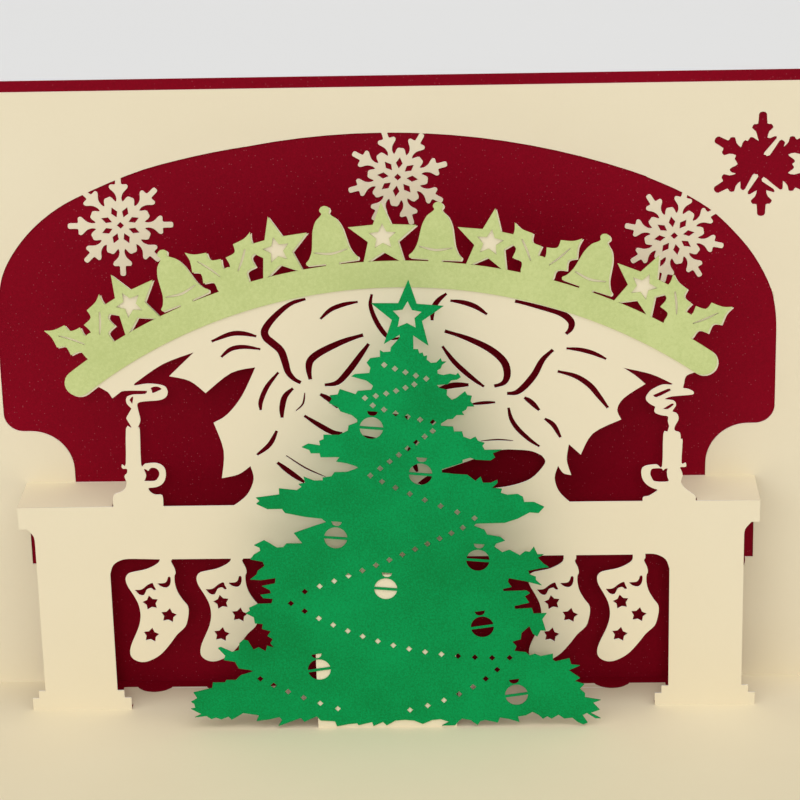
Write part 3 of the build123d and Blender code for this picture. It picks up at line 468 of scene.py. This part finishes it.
# Standing front of the liner: millimetres across and above its floor. The frame is the right half
frontShape = {
    "lintel": 38.7,
    "frame": [
        [(85.75, 51.97), (85.75, 46.6), (83.85, 46.6)],
        [(83.85, 46.6), (82.41, 44.74), (82.2, 42.4)],
        [(82.2, 42.4), (82.2, 5), (83.8, 5), (83.8, 3.1), (85.4, 3.1), (85.4, -0.3), (61.9, -0.3),
         (61.9, 3.1), (63.5, 3.1), (63.5, 5), (65.1, 5), (65.1, 35)],
        [(65.1, 35), (64.2, 37.4), (62, 38.7), (59.5, 38.9)],
    ],
    "leftOut": [
        (-63.4, 52), (-63.2, 54.9), (-61.5, 55.7), (-60.4, 56.6), (-60, 58), (-60.4, 59.6), (-59.8, 60.3),
        (-59.7, 61.4), (-60.6, 61.5), (-60.9, 61.9), (-60.8, 62.5), (-59.9, 62.7), (-59.4, 71.3),
        (-58.3, 71.5), (-58.2, 71.9), (-59.1, 73.7), (-59, 74.3), (-58, 76), (-58, 76.4), (-58.8, 77.4),
        (-59, 78.4), (-58.7, 79.1), (-58, 79.4), (-57.2, 79.6), (-54.6, 79.7), (-54.1, 80.4),
        (-54.2, 80.55), (-59.2, 80.6), (-60.5, 80), (-61.8, 79), (-62.2, 79), (-63, 80.3), (-65, 81.6),
    ],
    "leftIn": [
        (-51.8, 52), (-51.9, 54.7), (-53.5, 54.9), (-54.6, 55.6), (-55, 56.6), (-53.4, 56.8), (-52, 57.4),
        (-51.1, 58.6), (-50.8, 60.2), (-51.1, 61.6), (-52.1, 62.5), (-53.5, 62.8), (-55.5, 62.6),
        (-56.4, 62.4), (-56.25, 71), (-56.7, 71.4), (-56.1, 72.8), (-56, 73.8), (-56.3, 75.5),
        (-56.5, 77), (-56.1, 77.7), (-54.5, 78), (-51.5, 78.2), (-50, 78.8), (-49.4, 79.8), (-49.5, 80.8),
        (-50, 81.5), (-51.5, 82), (-54, 82.2), (-56.8, 81.8), (-56.8, 82.3),
    ],
    "rightOut": [
        (71, 52), (70.8, 53.2), (69.6, 54.2), (68.2, 55.4), (67.5, 56.8), (67.9, 58.2), (67.7, 59.2),
        (67.3, 60.3), (68.5, 60.4), (68.7, 60.8), (68.5, 61.4), (67.6, 61.4), (67.8, 66.9), (67.4, 67.1),
        (67.2, 68.7), (66.1, 69.2), (65.9, 70), (66.3, 71), (66.8, 72), (66.7, 73), (66.2, 73.6),
        (65.4, 74), (66.1, 75.2), (66.2, 75.8), (65.9, 76.4), (65.2, 76.7), (63.8, 76.9), (63.7, 77.1),
        (65, 77.6), (67, 77.8), (69.6, 78), (70.2, 78.3), (70, 78.8), (68.8, 79.4), (67.8, 79.6),
        (68, 80.8), (68.2, 82), (68.8, 82.8), (70.4, 83.4),
    ],
    "rightIn": [
        (58.8, 52), (58.9, 53), (60.2, 53.3), (61.6, 54.2), (62.2, 54.8), (61.2, 55.2), (60, 55.9),
        (59, 57), (58.5, 58.4), (58.5, 59.8), (59, 60.5), (60.2, 60.9), (62, 61), (63.2, 60.6),
        (63.4, 68.5), (64.3, 69), (64.6, 70), (64.7, 70.4), (64.4, 71.6), (64.4, 72.8), (63, 73.1),
        (61.7, 73.6), (61.3, 74.2), (61.5, 75), (61.5, 75.2), (60.2, 76), (59.4, 77), (59.6, 78),
        (60.6, 79.2), (62.4, 80.2), (63.6, 80.5), (65.1, 80.4), (65.4, 80.7),
    ],
    "candleHoles": [
        [(-55.9, 58.3), (-53.6, 58.3), (-52.8, 58.9), (-52.3, 60), (-52.5, 61), (-53.2, 61.6),
         (-54.2, 61.6), (-54.8, 60.9), (-55.2, 61.2), (-55.8, 61.3), (-55.4, 60), (-55.5, 59.2)],
        [(-53.2, 81.2), (-52.5, 81.5), (-51.5, 81.5), (-50.7, 80.9), (-51.5, 80.4), (-52.8, 79.9),
         (-53, 80.5)],
        [(-58.2, 78.3), (-57.8, 77.5), (-57.6, 77.5), (-57.3, 79.1), (-57.8, 78.9)],
        [(60.5, 58.6), (61, 57.4), (61.7, 56.8), (64.6, 56.8), (64.4, 58), (64.3, 59.4), (64.5, 60),
         (63.9, 60), (63.4, 59.6), (63, 60.1), (61.2, 60.1), (60.6, 59.6)],
        [(61, 78), (64.3, 79.5), (64.9, 79.3), (64.8, 78.9), (61.8, 77.4)],
        [(63.2, 74.6), (65, 75.8), (65.5, 75.9), (65.7, 75.6), (64.4, 74.5)],
    ],
    "crown": [(71, 85), (36, 101.2), (2.75, 107), (-32, 101.4), (-65.5, 83.5)],
    # lower edges of the ribbon from the candlesticks to its feet on the mantel
    "ribbonLeft": [
        [(-57, 82.2), (-50.2, 86.9), (-42.9, 89.7)],
        [(-42.9, 89.7), (-48.8, 84)],
        [(-48.8, 84), (-44.2, 82.8), (-40.7, 79.8)],
        [(-40.7, 79.8), (-34.7, 84.6), (-29.1, 85.9)],
        [(-29.1, 85.9), (-32.5, 78.9), (-36.1, 74.4), (-39.2, 72.5)],
        [(-39.2, 72.5), (-37.2, 65.7), (-37.9, 58.9)],
        [(-37.9, 58.9), (-34, 59.8), (-31.2, 61.8)],
        [(-31.2, 61.8), (-30.6, 58.5), (-32.3, 54.6), (-35.4, 52)],
    ],
    "ribbonRight": [
        [(65.4, 80.7), (60.5, 83.1), (54.2, 84.7)],
        [(54.2, 84.7), (57, 82.7), (59.2, 80.7)],
        [(59.2, 80.7), (54.4, 77.4), (52.9, 74.6), (53.8, 72.2)],
        [(53.8, 72.2), (47.4, 68.9), (44.6, 63.7)],
        [(44.6, 63.7), (41.9, 66.3)],
        [(41.9, 66.3), (41.4, 62.4), (42.4, 58.7)],
        [(42.4, 58.7), (40.6, 59.2), (39.4, 61)],
        [(39.4, 61), (38.6, 58), (39.6, 54.6), (42, 52)],
    ],
    "underBow": [
        [(7, 57), (10, 59.2), (16, 61.4), (20.4, 63), (26, 65), (30, 65.1), (33.4, 64.7), (35.7, 63.6)],
        [(35.7, 63.6), (36.5, 62.2), (35.7, 60.5), (33.2, 57.9), (29.5, 56.4), (24.8, 55.6), (14, 54.8),
         (7, 57)],
    ],
    "strokes": [  # width, then the points that the stroke runs through
        (1.1, (-38.8, 92.2), (-34.5, 93.9), (-31.5, 94), (-28.6, 93.3)),
        (1.0, (-36.8, 88.4), (-34.5, 90.3), (-31.5, 90.8), (-27.8, 90.2)),
        (1.6, (-17.2, 102.2), (-21, 100.7), (-24.6, 97.6), (-26.6, 94.8), (-26.4, 93), (-25.2, 91.8),
         (-23.2, 89.8), (-22.3, 87), (-21.7, 84.6), (-20.4, 82.9), (-18.9, 82)),
        (1.5, (-4.4, 93.3), (-9, 91.8), (-14, 89.4), (-16.5, 87.4), (-17, 85.2), (-16.7, 82.7)),
        (1.3, (-3.2, 91.2), (-5.2, 88.4), (-8, 84.6), (-10.6, 81.9), (-13.5, 81.4)),
        (1.0, (-14, 97.2), (-11.6, 99.4), (-8.6, 100.6), (-5.4, 101.2)),
        (1.0, (-2.2, 103), (-2.6, 100.4), (-1.6, 97), (0.2, 93.8), (1.8, 92.4), (3.8, 92.4)),
        (1.1, (14.6, 102.9), (12.6, 101.2), (11.4, 99), (11.2, 96.5)),
        (1.1, (15.4, 101.2), (18.4, 100.7), (21.2, 99.6), (23.6, 97.8)),
        (1.5, (14, 94), (19, 92.2), (24, 89.6), (27.2, 86.6), (28, 83.6), (27.2, 81.4), (25, 80.6)),
        (1.1, (13.4, 90.4), (16, 86.6), (19.6, 83), (22.7, 80.5)),
        (1.3, (12.2, 80), (15.6, 80.9), (19.2, 81)),
        (0.8, (19.8, 76.3), (22.6, 76.6), (25.2, 76.7)),
        (1.0, (-23.9, 84.6), (-26.6, 81.2), (-28.2, 77.6), (-28.3, 75.4)),
        (1.2, (-20.7, 80.7), (-22.6, 78.8), (-23.4, 76), (-23.5, 73.5)),
        (0.4, (-18.1, 79.6), (-18.6, 76.9), (-20.3, 75.2)),
        (1.2, (-14.6, 79.2), (-12.3, 77.7), (-10.6, 75.8)),
        (1.2, (-18.4, 74), (-15, 71.6), (-12, 69.8), (-9.8, 69.6)),
        (1.0, (-24.8, 70.4), (-26.6, 67), (-29.6, 64.5)),
        (1.2, (-25, 62.6), (-22, 60), (-18.9, 57.6)),
        (0.4, (-22.9, 64.3), (-18.6, 61.2), (-14, 58.9)),
        (1.4, (29.9, 100.9), (35, 99.6), (40, 98), (42.4, 96), (42.4, 94.2), (41.3, 92.9)),
        (1.0, (41.4, 89.5), (44.6, 89.1), (47.6, 88.2), (50.4, 86.8)),
        (1.4, (38.4, 89.2), (36, 86.8), (34.2, 83.4), (32, 80.6), (30, 79), (27.9, 78.8)),
        (1.2, (39.4, 84), (43.4, 82.8), (46.6, 80.6), (48.8, 77.8), (50.8, 75)),
        (1.1, (31.8, 77.8), (33.4, 76.6), (35.2, 74.6)),
        (1.0, (36.4, 72.6), (38.4, 71), (40, 67.9)),
        (1.0, (28.2, 75.4), (28.8, 72.6), (30.4, 70), (33, 67.4), (35.2, 65.8)),
        (0.4, (21.8, 67.3), (25.6, 67.6), (29.2, 67.3)),
        (1.5, (-5, 74.7), (-2.5, 74.1), (1.5, 73.5), (5.2, 73.2)),
        (0.9, (-6.5, 69), (-3.4, 68.2), (0, 67.4)),
        (0.8, (9.4, 70.8), (10.7, 72.1), (12, 73.3)),
        (0.8, (7.4, 68), (6.8, 67.2), (5.6, 65.7), (5, 64.6)),
        (1.0, (6.2, 63), (6.6, 61.4), (7.1, 59.8)),
    ],
    "stockings": [(-52, 0), (-35.4, 0), (41.9, -0.9), (57.9, -0.9)],  # across, drop of the loop
    "stocking": [
        (-1.3, 0), (-1.6, -0.8), (-2.8, -1.7), (-4.8, -2.6), (-7.6, -3.2), (-8.8, -3.6), (-9.5, -4.5),
        (-9.5, -5.7), (-9, -7.1), (-8, -8.9), (-7, -11.1), (-6.6, -13.1), (-6.6, -14.9), (-7.1, -17.1),
        (-8, -19.3), (-9, -21.5), (-9.5, -23.3), (-9.4, -24.7), (-8.6, -25.7), (-7.2, -26.3),
        (-5.6, -26.2), (-3.6, -25.3), (-1.8, -23.9), (0.2, -21.5), (1.8, -19.3), (3.8, -17.3),
        (4.5, -15.3), (4.8, -13.3), (4.6, -11.9), (3.6, -10.5), (2.4, -8.3), (1.9, -6.1), (1.9, -4.3),
        (2.2, -3.6), (2, -2.3), (1.3, -0.7), (1.6, 0),
    ],
    "cuffs": [
        [(-7.6, -7.7), (-6.4, -7.7), (-5.6, -7.4), (-4.8, -6.7), (-4, -6.2), (-3.3, -6), (-3, -6.8),
         (-2.6, -7.7), (-3.1, -7.9), (-3.7, -7.4), (-4.7, -7.7), (-5.1, -8.4), (-5.5, -9.1), (-6.1, -9.2),
         (-6.8, -8.8)],
        [(-2.2, -6.1), (-0.5, -6), (0.1, -5.4), (0.4, -4.5), (0.95, -4.6), (0.9, -6), (0.4, -7),
         (-0.4, -7.3), (-1.5, -6.9)],
    ],
    "stars": [(-4, -11.1, 10), (0.1, -14.4, -10), (-4.3, -19.4, -10)],  # across, height, turn
    "starTips": 1.95, "starNotches": 1.15,
}


def bend(before, start, end, after, share):
    # cubic from start to end that leaves and arrives along its neighbours
    square = 2 * before - 5 * start + 4 * end - after
    cube = 3 * (start - end) + after - before
    return start + 0.5 * share * (end - before + share * (square + share * cube))


def smooth(points, steps=4):
    # curve that passes through every point
    ends = [points[0], *points, points[-1]]
    line = []
    for four in zip(ends, ends[1:], ends[2:], ends[3:]):
        for step in range(steps):
            line.append(tuple(bend(*along, step / steps) for along in zip(*four)))
    return line + [points[-1]]


def smoothRing(points, steps):
    return smooth(points + points[:1], steps)[:-1]


def joined(runs):
    # runs of two points are straight, the others curved
    return [point for run in runs for point in (run if len(run) == 2 else smooth(run))]


# Stroke of a brush: full half way, blunt at its ends
nib = {"fullness": 0.58, "bluntness": 0.25, "swell": 0.45}


def brush(width, *spine):
    line = smooth(spine)
    last = len(line) - 1
    left, right = [], []
    for index, (x, z) in enumerate(line):
        ahead, behind = line[min(index + 1, last)], line[max(index - 1, 0)]
        run = Vector((ahead[0] - behind[0], ahead[1] - behind[1])).normalized()
        press = max(nib["bluntness"], math.sin(math.pi * index / last))
        half = nib["fullness"] * width * press ** nib["swell"]
        left.append((x - run.y * half, z + run.x * half))
        right.append((x + run.y * half, z - run.x * half))
    return left + right[::-1]


def makeFront(shape, front, back):
    straight, cove, pilaster, corner = shape["frame"]
    half = straight + smooth(cove) + pilaster + smooth(corner)
    ring = [(-x, z) for x, z in half]
    holes = []
    for across, drop in shape["stockings"]:
        spot = (across, shape["lintel"] + drop)
        ring.append((across + shape["stocking"][0][0], shape["lintel"]))
        ring += turned(smooth(shape["stocking"], 3), spot, 0)
        ring.append((across + shape["stocking"][-1][0], shape["lintel"]))
        holes += [turned(smoothRing(cuff, 3), spot, 0) for cuff in shape["cuffs"]]
        for x, z, turn in shape["stars"]:
            middle = (spot[0] + x, spot[1] + z)
            holes.append(starPoints(middle, shape["starTips"], shape["starNotches"], turn))
    ring += half[::-1] + smooth(shape["rightOut"], 3)
    ring += smooth(shape["crown"], 8) + smooth(shape["leftOut"], 3)[::-1]
    holes.append(smooth(shape["leftIn"], 3) + joined(shape["ribbonLeft"]))
    holes.append(smooth(shape["rightIn"], 3) + joined(shape["ribbonRight"]))
    holes.append(joined(shape["underBow"]))
    holes += [smoothRing(hole, 3) for hole in shape["candleHoles"]]
    holes += [brush(*stroke) for stroke in shape["strokes"]]
    return flatSheet("standingFront", [ring] + holes, front, back)


# Snowflakes under the arch; an arm's half outline as (across, along), from the lobe beside it to its tip
flakeShape = {
    "arm": [(2.72, 6.56), (2.1, 6.8), (1.5, 6.4), (0.8, 5.6), (0.55, 6.5), (0.9, 7.6), (1.5, 8.3),
            (2, 8.8), (2.15, 9.3), (1.85, 9.7), (1.2, 9.7), (0.66, 9.9), (0.64, 11.5), (0.4, 12.05)],
    "slot": [(0, 2), (0.78, 3.3), (0, 4.7), (-0.78, 3.3)], "middle": 0.85, "arms": 8,
    # across, height, turn, size
    "places": [(-60, 115.2, 0, 1), (3.7, 125.7, 15, 0.96), (66.4, 110.9, -13, 0.95)],
    "clear": 13, "clearSides": 48, "clearTop": 0.05, "reach": 1 * mm,
    "cutPlace": (86, 127.5),
    "cutArm": [(1.1, 6.2), (1.5, 7.6), (2.4, 8.5), (1.9, 9.4), (1.05, 9.5), (0.9, 11.7), (0.3, 12.2)],
    # between the arms, leftwards from the upper one; three have a sliver that hangs into the flake
    "cutGaps": [
        [(-0.9, 5.5), (-2.1, 6.3), (-2.8, 6.3), (-3.3, 5.5), (-3.9, 5.7), (-4.5, 5)],
        [(-6.2, 1.3), (-5.5, 0.1), (-6.7, -0.6), (-7.3, -1.2), (-6.7, -1.9)],
        [(-4.8, -5.4), (-4.4, -6), (-3.7, -5.8), (-2.1, -2.6), (-1.4, -2.4), (-0.8, -2.9), (-3.1, -6.4),
         (-2.6, -7.1)],
        [(2.8, -6.7), (2.7, -5.8), (0.1, -4), (0.3, -3.2), (1, -3.4), (4.2, -6.1), (4.8, -5.4)],
        [(7, -1.3), (7.2, -0.7), (6.8, -0.1), (7.3, 0.3), (7.3, 0.9), (6.4, 1.6)],
        [(5.1, 4.9), (4.6, 5.5), (3.8, 5.4), (1.7, 2.1), (0.7, 2.2), (0.5, 2.7), (3.2, 6), (2.7, 6.5),
         (1.8, 6.1)],
    ],
    # the arch stands a little higher on its left and lower on its right
    "leftArch": [(-16, 134.9), (-22, 134.5), (-30, 133.5), (-38, 132.2), (-46, 130.5), (-54, 128.4),
                 (-62, 125.4), (-70, 121.8), (-74, 119.6), (-78, 116.7), (-82, 112.9), (-85.8, 107.9),
                 (-88.2, 103), (-89.3, 97.5), (-89.7, 92)],
    "leftInside": [(-86, 90), (-80, 108), (-60, 121), (-36, 129), (-16, 133)],
    "rightArch": [(60, 125), (66, 122.3), (70, 120.1), (74, 117.5), (77, 114.9), (79.8, 112), (83.2, 108),
                  (85.8, 104), (87.8, 100.1), (88.6, 98)],
    "arch": {"top": 136.2, "radius": 168.07, "haunch": 70.02, "shoulder": (53.08, 88), "round": 37.02},
    "haunchWidth": 1, "proud": 0.02 * mm,
}


def archHeight(x, arch):
    x = abs(x)
    if x < arch["haunch"]:
        return arch["top"] - arch["radius"] + math.sqrt(arch["radius"] ** 2 - x ** 2)
    return arch["shoulder"][1] + math.sqrt(arch["round"] ** 2 - (x - arch["shoulder"][0]) ** 2)


def flakeCutters(shape, front, back):
    # discs about the CAD flakes that stop just short of the arch, the corner's disc, the left haunch
    rings = []
    for x, z, turn, size in shape["places"]:
        disc = discPoints((x, z), shape["clear"], shape["clearSides"])
        rings.append([(px, min(pz, archHeight(px, shape["arch"]) - shape["clearTop"])) for px, pz in disc])
    rings.append(discPoints(shape["cutPlace"], shape["clear"], shape["clearSides"]))
    rings.append(smooth(shape["leftArch"], 2) + shape["leftInside"])
    for ring in rings:
        yield flatSheet("flakeCutter", [ring], front - shape["reach"], back + shape["reach"])


def makeFlakes(shape, front, back):
    for x, z, turn, size in shape["places"]:
        side = [(size * across, size * along) for across, along in shape["arm"]]
        arm = side + [(-across, along) for across, along in side[:0:-1]]
        turns = [turn + 360 / shape["arms"] * step for step in range(shape["arms"])]
        rim = [point for angle in turns for point in turned(arm, (x, z), angle)]
        rings = [smoothRing(rim, 2), diamondPoints((x, z), shape["middle"])]
        rings += [turned(shape["slot"], (x, z), angle + 180 / shape["arms"]) for angle in turns]
        yield flatSheet("snowflake", rings, front - shape["proud"], back - shape["proud"])


def makeCutFlake(shape, front, back):
    # round patch of the panel with the flake left out
    arm = shape["cutArm"] + [(-across, along) for across, along in reversed(shape["cutArm"])]
    rim = []
    for step, gap in enumerate(shape["cutGaps"]):
        rim += turned(arm, (0, 0), 360 / len(shape["cutGaps"]) * step) + gap
    rim = turned(rim, shape["cutPlace"], 0)
    disc = discPoints(shape["cutPlace"], shape["clear"], shape["clearSides"])
    return flatSheet("cutFlake", [disc, smoothRing(rim, 2)], front, back)


def makeHaunch(shape, front, back):
    # strip of the panel along the right of the arch, which brings its edge lower
    inner, wide = smooth(shape["rightArch"], 2), shape["haunchWidth"]
    ring = inner + [(x + wide, z + wide) for x, z in reversed(inner)]
    lap = shape["proud"] / 2
    return flatSheet("rightHaunch", [ring], front - lap, back - lap)


# Banner: an arched band with a row of motifs along its top, each drawn on its seat
bannerShape = {
    "through": [(-69.3, 82.3), (2.75, 107.4), (72.6, 85.6)], "width": 6.2, "margin": 9, "seat": 2.4,
    "bandSteps": 60, "endSteps": 12,
    "row": "holly star bell holly star bell star bell star holly bell star holly".split(),
    "spines": [(0.5, 0), (2.9, 2.4), (3.5, 5.8), (2.8, 9.3), (0, 13.2)], "hollow": 0.62,
    "midrib": (0.45, (0, 3.6), (0.15, 6.5), (0, 9.8)), "leafFoot": (0, 1), "leafTilts": (36, -36),
    "berries": [(-1.8, 1.2), (1.8, 1.2), (0, 3.6)], "berryRadius": 1.9, "berrySides": 18,
    "bell": [(1.5, 0), (1.5, 1.2), (5.7, 1.3), (5.9, 1.9), (5.1, 2.7), (4.2, 4.6), (3.7, 7.2), (3.3, 9.2),
             (2.4, 11.2), (1.2, 12.3), (0.8, 12.9), (1.15, 13.6), (0.8, 14.3), (0, 14.6)],
    "bellBand": (0.55, (-3.7, 4.1), (0, 3.4), (3.7, 4.1)),
    "starMiddle": (0, 6.4), "starTips": 8, "starNotches": 3.5, "holeTips": 3.2, "holeNotches": 1.5,
    "lap": 0.01 * mm, "lapSteps": 7, "shift": (-0.35, 0.35),
}


def circleThrough(a, b, c):
    squares = [x * x + z * z for x, z in (a, b, c)]
    span = 2 * (a[0] * (b[1] - c[1]) + b[0] * (c[1] - a[1]) + c[0] * (a[1] - b[1]))
    x = (squares[0] * (b[1] - c[1]) + squares[1] * (c[1] - a[1]) + squares[2] * (a[1] - b[1])) / span
    z = (squares[0] * (c[0] - b[0]) + squares[1] * (a[0] - c[0]) + squares[2] * (b[0] - a[0])) / span
    return (x, z), math.hypot(a[0] - x, a[1] - z)


def bothSides(half):
    return half + [(-x, z) for x, z in half[-2::-1]]


def motifSheets(kind, shape):
    # every sheet of a motif as its outline and the cuts in it
    if kind == "star":
        middle = shape["starMiddle"]
        return [[starPoints(middle, shape["starTips"], shape["starNotches"], 0),
                 starPoints(middle, shape["holeTips"], shape["holeNotches"], 0)]]
    if kind == "bell":
        return [[bothSides(shape["bell"][:2] + smooth(shape["bell"][2:], 3)), brush(*shape["bellBand"])]]
    side = [shape["spines"][0]]
    for a, b in zip(shape["spines"], shape["spines"][1:]):
        side += smooth([a, (shape["hollow"] * (a[0] + b[0]) / 2, (a[1] + b[1]) / 2), b])[1:]
    leaf = [bothSides(side), brush(*shape["midrib"])]
    leaves = [[turned(ring, shape["leafFoot"], tilt) for ring in leaf] for tilt in shape["leafTilts"]]
    berries = [[discPoints(spot, shape["berryRadius"], shape["berrySides"])] for spot in shape["berries"]]
    return leaves + berries


def makeBanner(name, shape, front, shift, lap, cuts):
    middle, radius = circleThrough(*shape["through"])
    begin, end = (math.degrees(math.atan2(z - middle[1], x - middle[0])) for x, z in shape["through"][::2])
    half = shape["width"] / 2
    band = arcPoints(middle, radius + half, begin, end, shape["bandSteps"])
    band += arcPoints(shape["through"][2], half, end, end - 180, shape["endSteps"])
    band += arcPoints(middle, radius - half, end, begin, shape["bandSteps"])
    band += arcPoints(shape["through"][0], half, begin + 180, begin, shape["endSteps"])
    sheets = [[band]]
    inset = math.degrees(shape["margin"] / radius)
    for step, kind in enumerate(shape["row"]):
        angle = begin - inset + (end - begin + 2 * inset) * step / (len(shape["row"]) - 1)
        seat = turned([(0, shape["seat"])], arcPoints(middle, radius, angle, angle, 1)[0], angle - 90)[0]
        sheets += [[turned(ring, seat, angle - 90) for ring in sheet] for sheet in motifSheets(kind, shape)]
    pieces = []
    for step, sheet in enumerate(sheets):
        rings = [turned(ring, shift, 0) for ring in (sheet if cuts else sheet[:1])]
        layer = 1 + step % shape["lapSteps"] if step else 0  # no two sheets that meet share a face
        place = front + layer * lap
        pieces.append(flatSheet(name, rings, place, place + cardThick))
    return joinPieces(pieces)


def joinPieces(pieces):
    deselect()
    for piece in pieces:
        piece.select_set(True)
    bpy.context.view_layer.objects.active = pieces[0]
    bpy.ops.object.join()
    print(pieces[0].name, "joined with", len(pieces[0].data.polygons), "faces")
    return pieces[0]


def makeLiner():
    sheet = copyNode("liner", "creamSheet")
    for cutter in flakeCutters(flakeShape, *backDepths):
        cutAway(sheet, cutter)
    clearFront(sheet, *frontDepths)
    roundCuts(sheet)
    lap = bannerShape["lap"]
    pieces = [sheet, makeFront(frontShape, *frontDepths)]
    pieces.append(makeBanner("bannerBacking", bannerShape, frontPlane + lap, (0, 0), lap, cuts=False))
    pieces += makeFlakes(flakeShape, *backDepths)
    pieces.append(makeCutFlake(flakeShape, *backDepths))
    pieces.append(makeHaunch(flakeShape, *backDepths))
    sheet = joinPieces(pieces)
    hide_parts("liner")
    return sheet


linerSheet = makeLiner()
bannerFront = frontPlane - cardThick
bannerSheet = makeBanner("bannerOverlay", bannerShape, bannerFront, bannerShape["shift"],
                         -bannerShape["lap"], cuts=True)
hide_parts("banner")
firTree = makeTree(treeShape)

dress(nodes["cover"], makeCoverCard(coverLook))
dress(linerSheet, makeLinerCard(linerLook))
# the cut faces take the paler card: a painted highlight along the cuts, together with the paler core
paleEdgesCoreAndHighlight(linerSheet, makeLinerCard(edgeCoreAndHighlightLook))
dress(firTree, makeFeltCard(treeLook))
dress(bannerSheet, makeFeltCard(bannerLook))
print("cards dressed")

# Pale floor, far larger than the view
floorLook = {
    "size": 8.0, "colour": rgb(238, 239, 241), "shade": rgb(234, 235, 237), "cloudSize": 0.5,
    "roughness": 0.7, "cloudRoughness": 0.1, "relief": 0.01 * mm, "specular": 0.5,
}


def makeFloor(look):
    deselect()
    bpy.ops.mesh.primitive_plane_add(size=look["size"], location=(0, 0, 0))
    floor = bpy.context.object
    floor.name = "studioFloor"
    material, paint, place = newMaterial("floorPaint")
    cloud = paint.noise(place, look["cloudSize"])
    colour = paint.mix(cloud, look["shade"], look["colour"])
    roughness = look["roughness"] + look["cloudRoughness"] * cloud
    finishMaterial(paint, look, colour, roughness, cloud)
    floor.data.materials.append(material)


makeFloor(floorLook)

# Soft light: a broad key from the upper left, one from beside the camera, one from above, an even sky
lightLook = {
    "lamps": [
        ("key", (-0.6, -0.9, 0.75), 62, 1.0, (0.985, 0.99, 1.04)),
        ("front", (0.04, -0.92, 0.38), 12, 0.6, (0.985, 0.99, 1.03)),
        ("top", (0.35, -0.35, 1.0), 60, 1.15, (0.985, 0.985, 1.03)),
    ],
    "sky": (1.0, 0.96, 0.79, 1.0), "skyStrength": 0.325, "backdrop": rgb(224, 224, 226),
}


def makeLights(look):
    for name, place, spread, strength, colour in look["lamps"]:
        lamp = bpy.data.lights.new(name, "SUN")
        lamp.angle, lamp.energy, lamp.color = math.radians(spread), strength, colour
        holder = bpy.data.objects.new(name, lamp)
        bpy.context.scene.collection.objects.link(holder)
        holder.location = place
        holder.rotation_euler = Vector(place).to_track_quat("Z", "Y").to_euler()
    world = bpy.data.worlds.new("studioSky")
    bpy.context.scene.world = world
    world.use_nodes = True
    world.node_tree.nodes.clear()
    paint = Paint(world.node_tree)
    sky = paint.node("ShaderNodeBackground", {}, {"Color": look["sky"], "Strength": look["skyStrength"]})
    back = paint.node("ShaderNodeBackground", {}, {"Color": look["backdrop"], "Strength": 1.0})
    rays = [paint.node("ShaderNodeLightPath", {}, {}, out=ray)
            for ray in ("Is Camera Ray", "Is Glossy Ray", "Is Transmission Ray")]
    seen = rays[0] + rays[1] + rays[2]
    both = paint.node("ShaderNodeMixShader", {}, {0: seen, 1: sky, 2: back})
    paint.node("ShaderNodeOutputWorld", {}, {"Surface": both})


makeLights(lightLook)

# Camera at the height and side it was photographed from, angles in degrees
cameraLook = {
    "place": Vector((26.0, -567.6, 311.5)) * mm,
    "yaw": -2.053, "pitch": 20.41, "roll": -1.402, "lens": 132.27, "sensor": 36.0,
}


def makeCamera(look):
    yaw, pitch, roll = (math.radians(look[name]) for name in ("yaw", "pitch", "roll"))
    forward = Vector((math.sin(yaw) * math.cos(pitch), math.cos(yaw) * math.cos(pitch), -math.sin(pitch)))
    side = Vector((math.cos(yaw), -math.sin(yaw), 0))
    up = side.cross(forward)
    side, up = side * math.cos(roll) + up * math.sin(roll), up * math.cos(roll) - side * math.sin(roll)
    turn = Matrix((side, up, -forward)).transposed().to_4x4()
    data = bpy.data.cameras.new("photoCamera")
    data.lens, data.sensor_width = look["lens"], look["sensor"]
    camera = bpy.data.objects.new("photoCamera", data)
    camera.matrix_world = Matrix.Translation(look["place"]) @ turn
    bpy.context.scene.collection.objects.link(camera)
    bpy.context.scene.camera = camera


makeCamera(cameraLook)
bpy.context.scene.view_settings.view_transform = "Standard"
print("light and camera done")
